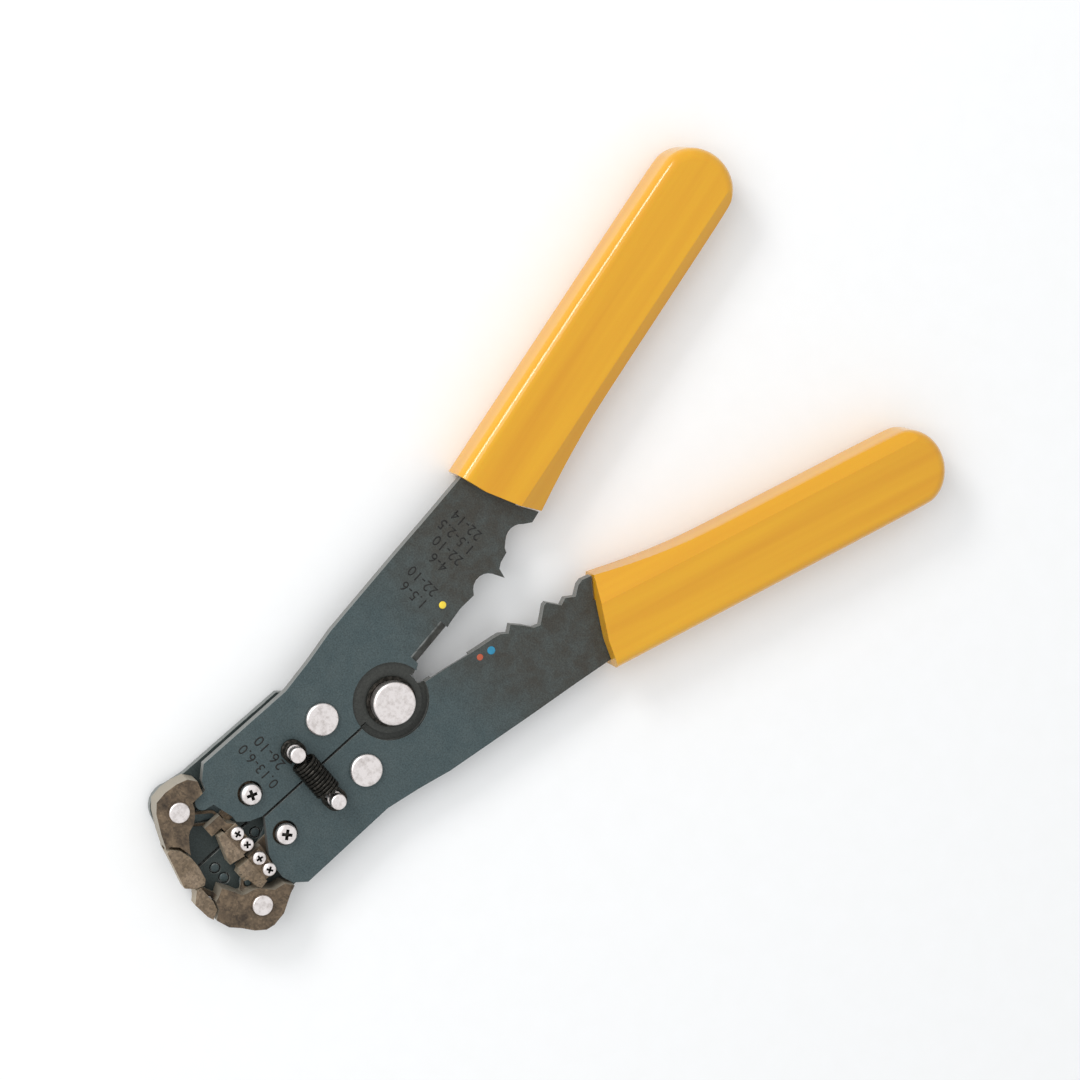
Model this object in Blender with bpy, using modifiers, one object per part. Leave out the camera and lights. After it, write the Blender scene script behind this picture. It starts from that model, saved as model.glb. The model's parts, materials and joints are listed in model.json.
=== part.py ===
"""Self-adjusting wire stripper with crimp notches and a wire cutter in its handles.

It lies on its back: +X right, +Y from the jaws to the grips, +Z out of the front face.
The origin is on the main pivot, level with the backs of the rivets. Sizes are in
millimetres and become metres in the functions that make the meshes.
"""
import math

import bmesh
import bpy
from mathutils import Matrix, Vector

MM = 0.001

# Clearances and plate stack
gap = 0.3                    # between pieces that touch or seat on each other
seam = 0.05                  # keeps faces of solids that are joined out of one plane
back_head = 0.8              # rivet heads on the back
back_plate_thickness = 2.0
link_thickness = 0.85        # two layers of links lie between the plates
front_plate_thickness = 2.4
grip_thickness = 12.4

# Main pivot
eye_radius = 7.2             # round lugs that turn on each other
recess_radius = 8.8          # round recess around the lugs
recess_depth = 0.6
eye_thickness = 0.7
pivot_shank_radius = 3.2
pivot_head_radius = 4.9
pivot_head_height = 3.2      # above the front face
pivot_washer_radius = 5.7
washer_thickness = 0.5
pivot_thread_radius = 2.6
pivot_nut_flats = 9.0
pivot_nut_height = 4.2

# Head
parting = 0.3                # half of the slot between the two halves
head_half_width = 18.2
chin_y = -42.7               # lower edge of the front plates
spacer_rivet = (7.8, -14.1)
spacer_shank_radius = 2.4
spacer_head_radius = 3.7
spring_post = (7.1, -23.5)
spring_post_radius = 1.75
spring_post_height = 6.2     # above the front face
holder_screw_x = 6.1
screw_head_radius = 2.35
holder_hole_radius = 2.85
holder_eye_radius = 2.2      # of the pad holders, under the plates
jaw_pivot_inset = 3.9        # from the side of the head
jaw_pivot_drop = 8.0         # below the chin
jaw_shank_radius = 1.7
jaw_head_radius = 2.3
jaw_rise = 1.4               # jaws stand above the front face
pad_screw_radius = 1.55
cross_turn = 25.0            # of the screws' recesses, degrees

# Spring
spring_wire = 0.7
spring_outer_radius = 2.95
spring_turns = 11
spring_level = 3.3           # axis above the front face

# Handles
grip_front = 43.2            # outer end of the grip's mouth
grip_end = 125.3             # centre of its rounded end
grip_slope = 0.275           # splay of a handle, across per along
grip_outer_start = 29.2
grip_inner_start = (9.7, 52.8)
grip_inner_flare = 2.9
grip_wall_outer = 2.0
grip_wall_inner = 2.6
grip_end_depth = 8.2
grip_edge_radius = 3.8

# Levels
back_plate_bottom = back_head + gap
back_plate_top = back_plate_bottom + back_plate_thickness
low_link = back_plate_top + gap
low_link_top = low_link + link_thickness
high_link = low_link_top + gap
high_link_top = high_link + link_thickness
front_bottom = high_link_top + gap
front_face = front_bottom + front_plate_thickness
jaw_top = front_face + jaw_rise

# Places that follow from them
jaw_pivot = (head_half_width - jaw_pivot_inset, chin_y - jaw_pivot_drop)
holder_screw = (holder_screw_x, chin_y + 6.2)
claw_peg = (jaw_pivot[0] - 4.5, jaw_pivot[1] + 1.0)
claw_peg_radius = 0.7
claw_slot_length = 4.3       # the peg's lost motion in a jaw's claw
claw_slot_angle = 128.0      # on the right, degrees from +X
claw_wall = 0.6
claw_root = 1.4              # how far the claw runs back into the jaw, short of its hole

parts = bpy.data.collections.new("wire_stripper")
cutters = bpy.data.collections.new("cutters")


def start_empty_scene():
    for item in list(bpy.data.objects):
        bpy.data.objects.remove(item, do_unlink=True)
    bpy.context.scene.collection.children.link(parts)
    bpy.context.scene.collection.children.link(cutters)


def finish(name, colour, metallic, roughness):
    material = bpy.data.materials.new(name)
    material.use_nodes = True
    shader = material.node_tree.nodes["Principled BSDF"]
    shader.inputs["Base Color"].default_value = (*colour, 1.0)
    shader.inputs["Metallic"].default_value = metallic
    shader.inputs["Roughness"].default_value = roughness
    return material


# ---------------------------------------------------------------- outlines

def arc(centre, radius, start, end, count):
    """Points on a round stretch, angles in degrees."""
    points = []
    for step in range(count + 1):
        angle = math.radians(start + (end - start) * step / count)
        points.append((centre[0] + radius * math.cos(angle),
                       centre[1] + radius * math.sin(angle)))
    return points


def circle(centre, radius, count=24):
    return arc(centre, radius, 0, 360, count)[:-1]


def mirrored(points):
    return [(-x, y) for x, y in reversed(points)]


def about_jaw(points):
    """Points given from the jaw's pivot, on the right-hand side."""
    return [(jaw_pivot[0] + x, jaw_pivot[1] + y) for x, y in points]


def from_chin(points):
    return [(x, chin_y + y) for x, y in points]


def grip_outer(y):
    return grip_outer_start + grip_slope * (y - grip_front)


def grip_inner(y):
    start_x, start_y = grip_inner_start
    fade = max(0.0, 1.0 - (y - start_y) / 28.0)
    return (start_x + grip_inner_flare + grip_slope * (y - start_y)
            - grip_inner_flare * fade ** 2)


def grip_outline():
    low, high = grip_front, grip_end - 3.0
    outer = [(grip_outer(y), y) for y in (low, low + (high - low) / 2, high)]
    centre_x = (grip_outer(grip_end) + grip_inner(grip_end)) / 2
    half = (grip_outer(grip_end) - grip_inner(grip_end)) / 2
    length = math.hypot(1.0, grip_slope)
    along = Vector((grip_slope, 1.0)) / length
    across = Vector((1.0, -grip_slope)) / length
    end = []
    for step in range(13):
        angle = math.pi * step / 12
        point = (Vector((centre_x, grip_end))
                 + across * half * math.cos(angle) / length
                 + along * grip_end_depth * math.sin(angle))
        end.append((point.x, point.y))
    start_y = grip_inner_start[1]
    inner = [(grip_inner(y), y) for y in (start_y + 60, start_y + 40, start_y + 28,
                                          start_y + 20, start_y + 12, start_y + 5, start_y)
             if y < grip_end - 3]
    mouth = [(15.0, grip_mouth(15.0)), (22.5, grip_mouth(22.5))]
    return outer + end + inner + mouth


def grip_mouth(x):
    """Height of the slanted front edge of the grip at x."""
    start_x, start_y = grip_inner_start
    share = (x - start_x) / (grip_outer_start - start_x)
    return start_y + (grip_front - start_y) * share - 1.2 * math.sin(math.pi * share)


def tang_edges(spare):
    """The strip of a handle plate that the grip sleeves, grown by spare."""
    top = grip_end - 9.0 + spare
    levels = [46.0 + (top - 46.0) * step / 6 for step in range(7)]
    outer = [(grip_outer(y) - grip_wall_outer + spare, y) for y in levels]
    inner = [(grip_inner(max(y, grip_inner_start[1])) + grip_wall_inner - spare, y)
             for y in reversed(levels) if y > 52.0]
    return outer, inner


crimp_edge_right = [
    (1.9, 7.9), (2.1, 9.2), (2.9, 14.2), (4.3, 21.2), (5.1, 26.3), (5.5, 28.2),
    (6.7, 29.7), (5.4, 31.3), (7.8, 33.5), (9.7, 34.9), (10.3, 36.4), (7.4, 39.9),
    (7.3, 40.7), (10.2, 42.9), (9.5, 44.6), (10.9, 46.6), (9.3, 48.8), (9.0, 50.1),
]
crimp_edge_left = (
    [(1.0, 7.4), (1.5, 8.8), (2.4, 10.0), (3.9, 20.0), (4.3, 21.0), (5.2, 24.9),
     (5.4, 29.2)]
    + arc((4.4, 32.6), 3.4, -50, 58, 6)
    + [(3.6, 37.0), (6.0, 37.4), (6.9, 38.6), (7.7, 40.9), (8.8, 41.3)]
    + arc((7.6, 45.2), 3.6, -48, 48, 6)
    + [(8.9, 49.7)]
)
chin_right = [(head_half_width, chin_y + 2.9), (head_half_width - 2.3, chin_y + 0.3),
              (13.4, chin_y - 0.6), (10.8, chin_y - 0.5), (7.4, chin_y + 0.4),
              (parting, chin_y + 5.1)]
chin_left = ([(head_half_width, chin_y + 2.9), (head_half_width - 2.6, chin_y + 0.2),
              (jaw_pivot[0] - 0.8, chin_y - 0.6)]
             + arc((jaw_pivot[0] - 2.5, jaw_pivot[1] + 5.2), 1.7, 360, 180, 8)
             + [(9.8, chin_y - 1.3), (4.8, chin_y), (3.3, chin_y - 0.1),
                (1.5, chin_y + 2.0), (parting, chin_y + 4.9)])


def handle_outline(crimp_edge, chin):
    """Right-hand handle plate: lug, crimp notches, tang, side and chin."""
    low = math.degrees(math.asin(parting / eye_radius))
    lug = arc((0, 0), eye_radius, 270 + low, 78, 22)
    outer, inner = tang_edges(0.0)
    shoulder_x = inner[-1][0]
    shoulder = [(grip_inner_start[0], grip_mouth(grip_inner_start[0]) - gap - 0.2),
                (shoulder_x, grip_mouth(shoulder_x) - gap - 0.2)]
    side = [(26.2, 34.0), (24.6, 22.0), (21.4, 0.0), (19.5, -8.0),
            (head_half_width - 0.2, -16.0)]
    return (lug + crimp_edge + shoulder + list(reversed(inner))
            + list(reversed(outer)) + side + chin)


# ---------------------------------------------------------------- solids

def add_mesh_object(name, mesh, collection):
    item = bpy.data.objects.new(name, mesh)
    collection.objects.link(item)
    return item


def merged_mesh(source, name):
    """The evaluated mesh of a curve, with its loose caps welded."""
    graph = bpy.context.evaluated_depsgraph_get()
    mesh = bpy.data.meshes.new_from_object(source.evaluated_get(graph))
    mesh.name = name
    work = bmesh.new()
    work.from_mesh(mesh)
    bmesh.ops.remove_doubles(work, verts=work.verts, dist=0.000005)
    work.to_mesh(mesh)
    work.free()
    return mesh


def sheet(name, outlines, bottom, top, material=None, collection=parts):
    """A flat piece: the first outline is its edge, the others are holes."""
    curve = bpy.data.curves.new(name, "CURVE")
    curve.dimensions = "2D"
    curve.fill_mode = "BOTH"
    curve.extrude = (top - bottom) / 2 * MM
    for outline in outlines:
        spline = curve.splines.new("POLY")
        spline.points.add(len(outline) - 1)
        for point, (x, y) in zip(spline.points, outline):
            point.co = (x * MM, y * MM, 0.0, 1.0)
        spline.use_cyclic_u = True
    flat = bpy.data.objects.new(name + "_curve", curve)
    flat.location.z = (bottom + top) / 2 * MM
    collection.objects.link(flat)
    bpy.context.view_layer.update()
    mesh = merged_mesh(flat, name)
    mesh.transform(flat.matrix_world)
    bpy.data.objects.remove(flat, do_unlink=True)
    if material:
        mesh.materials.append(material)
    return add_mesh_object(name, mesh, collection)


def turned(name, place, profile, material=None, collection=parts, steps=24):
    """A round piece from a half profile of (radius, height), top to bottom."""
    mesh = bpy.data.meshes.new(name)
    points = [(radius * MM, 0.0, height * MM) for radius, height in profile]
    edges = [(index, index + 1) for index in range(len(points) - 1)]
    mesh.from_pydata(points, edges, [])
    if material:
        mesh.materials.append(material)
    item = add_mesh_object(name, mesh, collection)
    item.location = (place[0] * MM, place[1] * MM, 0.0)
    screw = item.modifiers.new("turn", "SCREW")
    screw.steps = steps
    screw.render_steps = steps
    screw.use_merge_vertices = True
    screw.merge_threshold = 0.00001
    return item


def as_cutter(item):
    item.hide_render = True
    item.display_type = "WIRE"
    return item


def round_cutter(name, place, radius, bottom, top, steps=40):
    return as_cutter(turned(name, place, [(0, top), (radius, top), (radius, bottom),
                                          (0, bottom)], None, cutters, steps))


def sheet_cutter(name, outline, bottom, top):
    return as_cutter(sheet(name, [outline], bottom, top, None, cutters))


def boolean(item, other, operation="DIFFERENCE"):
    change = item.modifiers.new(operation.lower(), "BOOLEAN")
    change.operation = operation
    change.object = other
    change.solver = "EXACT"


def parent_to(items, name, place):
    """An empty on a joint's axis, with the pieces that turn on it."""
    hub = bpy.data.objects.new(name, None)
    hub.location = (place[0] * MM, place[1] * MM, 0.0)
    parts.objects.link(hub)
    bpy.context.view_layer.update()
    for item in items:
        item.parent = hub
        item.matrix_parent_inverse = hub.matrix_world.inverted()


# ---------------------------------------------------------------- plates

def side_name(side):
    return "left" if side < 0 else "right"


def at(side, place):
    return (side * place[0], place[1])


def outline_for(side, points):
    return mirrored(points) if side < 0 else points


def handle_plate(side, steel):
    name = side_name(side) + "_handle_plate"
    crimp_edge = crimp_edge_left if side < 0 else crimp_edge_right
    chin = chin_left if side < 0 else chin_right
    outline = outline_for(side, handle_outline(crimp_edge, chin))
    holes = [circle((0, 0), pivot_shank_radius + gap),
             circle(at(side, spacer_rivet), spacer_shank_radius + gap),
             circle(at(side, spring_post), spring_post_radius + gap, 16),
             circle(at(side, holder_screw), holder_hole_radius)]
    plate = sheet(name, [outline] + holes, front_bottom, front_face, steel)
    eye_top = front_face - recess_depth
    eye_bottom = eye_top - eye_thickness
    if side < 0:
        boolean(plate, round_cutter(name + "_recess", (0, 0), recess_radius,
                                    eye_top, front_face + 1))
        boolean(plate, round_cutter(name + "_lap", (0, 0), recess_radius,
                                    front_bottom - 1, eye_bottom))
    else:
        boolean(plate, round_cutter(name + "_lap", (0, 0), recess_radius,
                                    eye_bottom - gap, front_face + 1))
    boolean(plate, cutter_bevel(side, name))
    return plate


def cutter_bevel(side, name):
    """The wedge that leaves a sharp wire-cutting edge: front on the left, back on the right."""
    level = front_face if side < 0 else front_bottom
    width = 2.3
    depth = 1.6
    bottom, top = (2.4, 10.0), (3.9, 20.2)
    if side > 0:
        bottom, top = (2.25, 10.2), (4.1, 20.0)
    direction = Vector((top[0] - bottom[0], top[1] - bottom[1])).normalized()
    bpy.ops.mesh.primitive_cube_add(size=1.0)
    box = bpy.context.active_object
    box.name = name + "_bevel"
    for owner in list(box.users_collection):
        owner.objects.unlink(box)
    cutters.objects.link(box)
    length = math.dist(bottom, top)
    lean = math.atan2(depth, width)
    thick = 4.0
    box.data.transform(Matrix.Diagonal((12.0, length, thick, 1.0)))
    rise = thick / 2 if side < 0 else -thick / 2
    box.data.transform(Matrix.Translation((6.0 - 12.0, 0.0, rise)))
    # Lean about the line where the wedge leaves the plate's face.
    box.data.transform(Matrix.Rotation(-lean if side < 0 else lean, 4, "Y"))
    box.data.transform(Matrix.Translation((width, 0.0, 0.0)))
    turn = math.atan2(direction.y, direction.x) - math.pi / 2
    box.data.transform(Matrix.Rotation(turn, 4, "Z"))
    middle = Vector(((bottom[0] + top[0]) / 2, (bottom[1] + top[1]) / 2, level))
    box.data.transform(Matrix.Translation(middle))
    if side < 0:
        box.data.transform(Matrix.Diagonal((-1.0, 1.0, 1.0, 1.0)))
        box.data.flip_normals()
    box.data.transform(Matrix.Scale(MM, 4))
    return as_cutter(box)


def back_plate(side, steel):
    name = side_name(side) + "_back_plate"
    tip = jaw_pivot[1] - 6.9
    outline = ([(parting, -16.5)]
               + arc(spacer_rivet, 5.2, 200, 60, 8)
               + [(head_half_width - 0.4, -17.5), (head_half_width, chin_y - 1.5)]
               + arc(jaw_pivot, jaw_pivot_inset + 1.2, 25, -75, 7)
               + [(8.5, tip), (parting, tip)])
    holes = [circle(at(side, spacer_rivet), spacer_shank_radius + gap),
             circle(at(side, spring_post), spring_post_radius + gap, 16),
             circle(at(side, jaw_pivot), jaw_shank_radius + gap, 20)]
    if side > 0:
        holes += [circle(place, dowel_radius + gap, 14) for place in dowels.values()]
    return sheet(name, [outline_for(side, outline)] + holes,
                 back_plate_bottom, back_plate_top, steel)


dowel_radius = 1.0
dowels = {"upper": (3.0, chin_y + 1.5), "left": (2.9, jaw_pivot[1] - 2.2),
          "right": (6.0, jaw_pivot[1] - 2.2)}


def grip(side, rubber):
    """A moulded sleeve with rounded long edges and a pocket for the tang."""
    name = side_name(side) + "_grip"
    outline = outline_for(side, grip_outline())
    sleeve = sheet(name, [outline], 0.0, grip_thickness, rubber)
    mouth = {(round(x, 3), round(y, 3)) for x, y in
             [(side * grip_outer_start, grip_front), (side * 22.5, grip_mouth(22.5)),
              (side * 15.0, grip_mouth(15.0)),
              (side * grip_inner_start[0], grip_inner_start[1])]}
    work = bmesh.new()
    work.from_mesh(sleeve.data)
    bmesh.ops.dissolve_limit(work, angle_limit=0.01, verts=work.verts, edges=work.edges)
    rims = []
    for edge in work.edges:
        ends = [(round(v.co.x / MM, 3), round(v.co.y / MM, 3)) for v in edge.verts]
        flat = abs(edge.verts[0].co.z - edge.verts[1].co.z) < 1e-6
        if flat and not (ends[0] in mouth and ends[1] in mouth):
            rims.append(edge)
    bmesh.ops.bevel(work, geom=rims, offset=grip_edge_radius * MM, segments=3,
                    profile=0.5, affect="EDGES", clamp_overlap=True, material=-1)
    work.to_mesh(sleeve.data)
    work.free()
    outer, inner = tang_edges(gap)
    pocket = ([(outer[0][0], 38.0)] + outer + inner + [(inner[-1][0], 38.0)])
    boolean(sleeve, sheet_cutter(name + "_pocket", outline_for(side, pocket),
                                 front_bottom - gap, front_face + gap))
    return sleeve


# ---------------------------------------------------------------- rivets, posts and screws

def rivet_profile(levels):
    """Half profile of a rivet with a domed rim on its front head."""
    head_radius, head_bottom, head_top, shank, tail_top, tail_radius = levels
    rim = min(0.35, (head_top - head_bottom) / 2)
    return [(0, head_top), (head_radius - rim, head_top), (head_radius, head_top - rim),
            (head_radius, head_bottom), (shank, head_bottom), (shank, tail_top),
            (tail_radius, tail_top), (tail_radius, 0.25), (tail_radius - 0.25, 0),
            (0, 0)]


def pivot_bolt(bright):
    """The bolt both halves turn on: broad flat head in front, threaded end behind."""
    seat = front_face - recess_depth + 2 * gap + washer_thickness
    top = front_face + pivot_head_height
    shank_end = front_bottom - gap
    return turned("pivot_bolt", (0, 0), [
        (0, top), (pivot_head_radius - 0.4, top), (pivot_head_radius, top - 0.4),
        (pivot_head_radius, seat), (pivot_shank_radius, seat),
        (pivot_shank_radius, shank_end), (pivot_thread_radius, shank_end),
        (pivot_thread_radius, 0.3), (pivot_thread_radius - 0.3, 0), (0, 0)],
        bright, steps=32)


def pivot_nut(bright):
    corner = pivot_nut_flats / 2 / math.cos(math.radians(30))
    return sheet("pivot_nut", [circle((0, 0), corner, 6),
                               circle((0, 0), pivot_thread_radius + gap, 20)],
                 front_bottom - 2 * gap - pivot_nut_height, front_bottom - 2 * gap, bright)


def pivot_washer(dark):
    bottom = front_face - recess_depth + gap
    hole = pivot_shank_radius + gap
    return sheet("pivot_washer", [circle((0, 0), pivot_washer_radius, 32),
                                  circle((0, 0), hole)],
                 bottom, bottom + washer_thickness, dark)


def spacer(side, bright):
    """Rivets that clamp a front and a back plate and carry the far pull link."""
    return turned(side_name(side) + "_spacer_rivet", at(side, spacer_rivet),
                  rivet_profile((spacer_head_radius, front_face + gap, front_face + 1.2,
                                 spacer_shank_radius, back_head, 3.6)), bright)


def post(side, bright):
    """A spring post: a pin with a foot on the plate and a neck for the spring's loop."""
    radius = spring_post_radius
    top = front_face + spring_post_height
    neck = front_face + spring_level
    foot = front_face + gap
    return turned(side_name(side) + "_spring_post", at(side, spring_post), [
        (0, top), (radius - 0.3, top), (radius, top - 0.3), (radius, neck + 1.1),
        (radius - 0.45, neck + 0.7), (radius - 0.45, neck - 0.7), (radius, neck - 1.1),
        (radius, foot + 0.7), (radius + 0.8, foot + 0.7), (radius + 0.8, foot),
        (radius, foot), (radius, back_head), (radius + 1.0, back_head),
        (radius + 1.0, 0.2), (radius + 0.8, 0), (0, 0)], bright, steps=20)


def jaw_rivet(side, bright):
    return turned(side_name(side) + "_jaw_rivet", at(side, jaw_pivot),
                  rivet_profile((jaw_head_radius, jaw_top + gap, jaw_top + 1.1,
                                 jaw_shank_radius, back_head, 2.9)), bright)


def cross_screw(name, place, head_radius, head_bottom, head_top, shank, shank_bottom, bright):
    """A pan-head screw with a cross recess."""
    crown = head_top - head_bottom
    screw = turned(name, place, [
        (0, head_top), (head_radius * 0.6, head_top),
        (head_radius * 0.92, head_top - crown * 0.25),
        (head_radius, head_bottom + crown * 0.35), (head_radius, head_bottom),
        (shank, head_bottom), (shank, shank_bottom), (0, shank_bottom)], bright, steps=20)
    reach = head_radius * 0.55
    half = head_radius * 0.13
    cross = [(reach, -half), (reach, half), (half, half), (half, reach),
             (-half, reach), (-half, half), (-reach, half), (-reach, -half),
             (-half, -half), (-half, -reach), (half, -reach), (half, -half)]
    turn = math.radians(cross_turn)
    cross = [(x * math.cos(turn) - y * math.sin(turn) + place[0],
              x * math.sin(turn) + y * math.cos(turn) + place[1]) for x, y in cross]
    boolean(screw, sheet_cutter(name + "_cross", cross, head_top - crown * 0.45,
                                head_top + 1))
    return screw


def dowel(label, bright):
    return turned("right_dowel_" + label, dowels[label], [
        (0, back_plate_top), (dowel_radius, back_plate_top), (dowel_radius, back_plate_bottom),
        (0, back_plate_bottom)], bright, steps=16)


# ---------------------------------------------------------------- inner pads

pad_top = front_face + 1.5
flange_top = front_face + gap + 0.5
pad_split = -3.7             # below the chin: the pads' backs
pad_screw_drop = -1.7        # below the chin: the pads' screws
pad_screw_places = {
    "left_pad_screw_outer": (-1.7, chin_y + pad_screw_drop),
    "left_pad_screw_inner": (1.6, chin_y + pad_screw_drop),
    "right_pad_screw_inner": (5.9, chin_y + pad_screw_drop),
    "right_pad_screw_outer": (9.4, chin_y + pad_screw_drop),
}
pad_shank_radius = 0.55


def pad_screw_holes(side, radius):
    label = side_name(side)
    return [circle(place, radius, 12) for name, place in pad_screw_places.items()
            if name.startswith(label)]


def pad_holder(side, sintered):
    """A bar under the front plate, and a block below the chin that carries the pad."""
    name = side_name(side) + "_pad_holder"
    screw = at(side, holder_screw)
    if side < 0:
        shelf = from_chin([(-7.1, -1.9), (-7.1, -6.2), (-4.6, -6.2), (-4.6, pad_split + gap),
                           (3.3, pad_split + gap), (3.3, -0.4), (-3.0, -0.4), (-4.6, -1.9)])
        root = from_chin([(-5.1, -1.6), (-5.1, -6.1), (-4.7, -6.1), (-4.7, pad_split + gap),
                          (3.2, pad_split + gap), (3.2, -0.5), (-3.0, -0.5)])
        web = from_chin([(-6.6, -1.7), (-3.9, -1.7)])
    else:
        shelf = from_chin([(4.3, pad_split + gap), (10.9, pad_split + gap),
                           (10.9, -0.9), (7.6, 0.0), (5.0, 0.4), (4.3, 0.4)])
        root = from_chin([(4.4, pad_split + 2 * gap), (5.1, pad_split + 2 * gap),
                          (5.1, -1.9), (6.6, -1.7), (6.6, 0.0), (5.0, 0.3), (4.4, 0.3)])
        web = from_chin([(4.5, -1.8), (6.6, -1.8)])
    bar = arc(screw, holder_eye_radius, 0, 180, 8) + web
    hole = circle(screw, 1.3 + gap, 16)
    holder = sheet(name, [bar, hole], high_link, high_link_top, sintered)
    holes = pad_screw_holes(side, pad_shank_radius + gap)
    block = sheet(name + "_shelf", [shelf] + holes, front_bottom, front_face, None, cutters)
    stem = sheet(name + "_root", [root], high_link + seam, front_bottom + gap, None, cutters)
    boolean(holder, as_cutter(stem), "UNION")
    boolean(holder, as_cutter(block), "UNION")
    return holder


def left_blade(tool_steel):
    name = "left_inner_blade"
    block = from_chin([(-3.7, pad_split), (3.3, pad_split), (2.5, -7.4), (-4.1, -5.2)])
    flange = from_chin([(-3.5, -0.5), (3.1, -0.5), (3.1, pad_split - 0.5),
                        (-3.5, pad_split - 0.5)])
    return pad(name, -1, block, flange, tool_steel)


def right_gripper(tool_steel):
    name = "right_gripper_pad"
    teeth = []
    for tooth in range(3):
        start = 4.9 + tooth * 1.0
        teeth += [(start, -6.6 - 0.06 * tooth), (start + 0.5, -7.5)]
    block = from_chin([(4.5, pad_split), (4.4, -6.5)] + teeth
                      + [(7.9, -6.6), (10.3, -6.2), (11.4, -5.6), (11.0, pad_split)])
    flange = from_chin([(4.6, -0.4), (4.6, pad_split - 0.5), (10.8, pad_split - 0.5),
                        (10.8, -0.4)])
    return pad(name, 1, block, flange, tool_steel)


def pad(name, side, block, flange, tool_steel):
    """A wire pad: a full-height face in front, and a thin flange under the screws."""
    bottom = high_link if side < 0 else front_bottom
    body = sheet(name, [block], bottom, pad_top, tool_steel)
    holes = pad_screw_holes(side, pad_shank_radius + gap)
    tab = sheet(name + "_flange", [flange] + holes, front_face + gap, flange_top,
                None, cutters)
    boolean(body, as_cutter(tab), "UNION")
    return body


# ---------------------------------------------------------------- jaws and links

jaw_body_left = [
    (2.3, 7.4), (4.2, 6.0), (5.0, 3.6), (5.3, 0.6), (4.9, -2.2), (3.0, -3.9),
    (-1.1, -6.0), (-4.5, -7.4), (-4.7, -6.3), (-6.2, -4.9), (-9.2, -4.3),
    (-7.7, -3.4), (-5.7, -1.9), (-4.9, -0.9), (-4.4, 0.6), (-3.5, 1.7), (-1.9, 3.0),
    (-0.6, 3.5), (-0.5, 6.5),
]
jaw_body_right = [
    (1.9, 8.1), (2.5, 6.5), (3.8, 4.3), (5.0, 2.3), (5.5, -0.9), (5.1, -2.9),
    (3.4, -4.9), (0.9, -6.7), (-1.2, -8.6), (-4.3, -9.6), (-5.8, -7.6), (-7.6, -7.0),
    (-8.0, -5.8), (-9.0, -4.1), (-6.4, -2.6), (-4.7, -1.9), (-4.2, -0.9), (-3.9, 0.6),
    (-3.2, 2.0), (-1.8, 3.1), (-0.5, 4.3), (0.0, 6.8),
]


def pad_seat(side):
    """Low arm of a jaw, under its outer pad, in the right-hand sense."""
    if side < 0:
        return about_jaw([(-3.5, -6.6), (-4.6, -7.6), (-13.0, -9.6), (-15.4, -7.6),
                          (-14.8, -5.6), (-9.0, -4.6), (-5.0, -4.0)])
    return about_jaw([(-4.0, -5.0), (-4.0, -9.8), (-9.6, -10.4), (-12.0, -8.9),
                      (-12.0, -7.6), (-8.0, -6.0)])


def jaw(side, sintered):
    name = side_name(side) + "_jaw"
    body = jaw_body_left if side < 0 else jaw_body_right
    hole = circle(at(side, jaw_pivot), jaw_shank_radius + gap, 20)
    solid = sheet(name, [outline_for(side, about_jaw(body)), hole],
                  low_link, jaw_top, sintered)
    claw = sheet(name + "_claw", [outline_for(side, stadium(claw_peg_radius + gap + claw_wall,
                                                            claw_root))],
                 high_link + seam, high_link_top, None, cutters)
    # The link's end lies under the claw, and its peg runs in the claw's slot.
    room = sheet_cutter(name + "_link_room",
                        outline_for(side, stadium(link_end_radius + 2 * gap, 0.0)),
                        low_link - 1, high_link)
    slot = sheet_cutter(name + "_slot", outline_for(side, stadium(claw_peg_radius + gap, 0.0)),
                        low_link - 1, high_link_top + 0.2)
    seat = sheet(name + "_seat", [outline_for(side, pad_seat(side))], low_link + seam,
                 seat_top, None, cutters)
    boolean(solid, as_cutter(claw), "UNION")
    boolean(solid, room)
    boolean(solid, slot)
    boolean(solid, as_cutter(seat), "UNION")
    boolean(solid, round_cutter(name + "_pad_hole", at(side, pad_screw_at(side)),
                                1.0 + gap, low_link - 1, jaw_top + 1, 16))
    return solid


seat_top = high_link + 0.6


def stadium(radius, root):
    """Plan of the claw's slot grown to a radius, and run back into the jaw by root."""
    angle = math.radians(claw_slot_angle)
    along = Vector((math.cos(angle), math.sin(angle)))
    near = Vector(claw_peg) - along * root
    far = Vector(claw_peg) + along * claw_slot_length
    return (arc(far, radius, claw_slot_angle - 90, claw_slot_angle + 90, 8)
            + arc(near, radius, claw_slot_angle + 90, claw_slot_angle + 270, 8))


def pad_screw_at(side):
    offset = (-9.3, -7.2) if side < 0 else (-7.6, -8.4)
    return (jaw_pivot[0] + offset[0], jaw_pivot[1] + offset[1])


def outer_pad(side, tool_steel):
    """The pad at the end of a jaw, with the screw's blind hole from behind."""
    name = side_name(side) + "_outer_pad"
    if side < 0:
        outline = about_jaw([(-7.0, -5.3), (-9.9, -4.6), (-12.4, -4.7), (-15.5, -5.4),
                             (-16.4, -6.4), (-15.6, -8.4), (-13.8, -10.1), (-10.8, -9.3),
                             (-5.2, -7.8), (-5.1, -6.8)])
    else:
        outline = about_jaw([(-6.1, -8.0), (-5.0, -10.0), (-6.4, -10.5), (-10.3, -10.8),
                             (-12.5, -8.5), (-12.3, -7.4), (-8.0, -7.4)])
    body = sheet(name, [outline_for(side, outline)], seat_top + gap, jaw_top + 0.2,
                 tool_steel)
    boolean(body, round_cutter(name + "_hole", at(side, pad_screw_at(side)),
                               0.8 + gap, seat_top, seat_top + 2.6, 12))
    return body


def outer_pad_screw(side, bright):
    place = at(side, pad_screw_at(side))
    return turned(side_name(side) + "_outer_pad_screw", place, [
        (0, seat_top + 2.2), (0.8, seat_top + 2.2), (0.8, low_link + 0.1),
        (0, low_link + 0.1)], bright, steps=12)


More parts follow.
